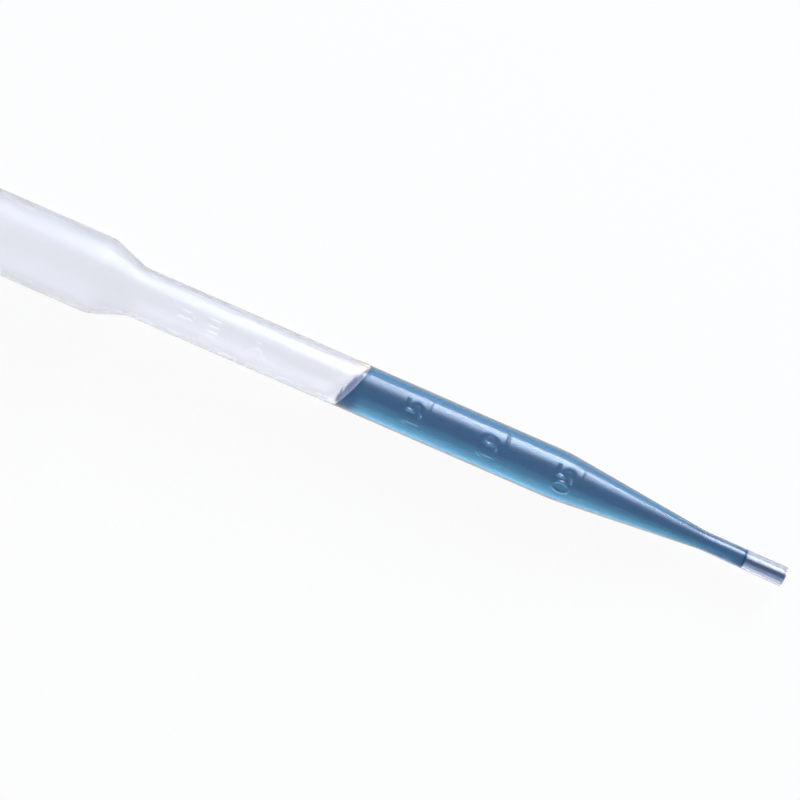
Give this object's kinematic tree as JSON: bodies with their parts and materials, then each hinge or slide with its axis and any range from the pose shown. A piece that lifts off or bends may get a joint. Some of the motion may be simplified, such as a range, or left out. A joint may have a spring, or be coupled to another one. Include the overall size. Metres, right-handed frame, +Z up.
{
  "type": "plastic dropper pipette",
  "caption": "Translucent one-piece transfer pipette with a squeeze bulb, raised scale and fine tip, part filled with blue liquid, lying on its side.",
  "frame": {"origin": "on the surface it lies on, under the middle of its length and width", "axes": "+X towards the tip along the pipette, +Z up with the raised scale facing up"},
  "size_m": [0.16, 0.0128, 0.0137],
  "materials": {
    "polyethylene": "translucent natural low-density polyethylene, blow-moulded, satin gloss",
    "blue_liquid": "clear blue water-based liquid"
  },
  "bodies": {
    "root": {"pipette_body": "polyethylene", "blue_liquid": "blue_liquid"}
  },
  "joints": []
}
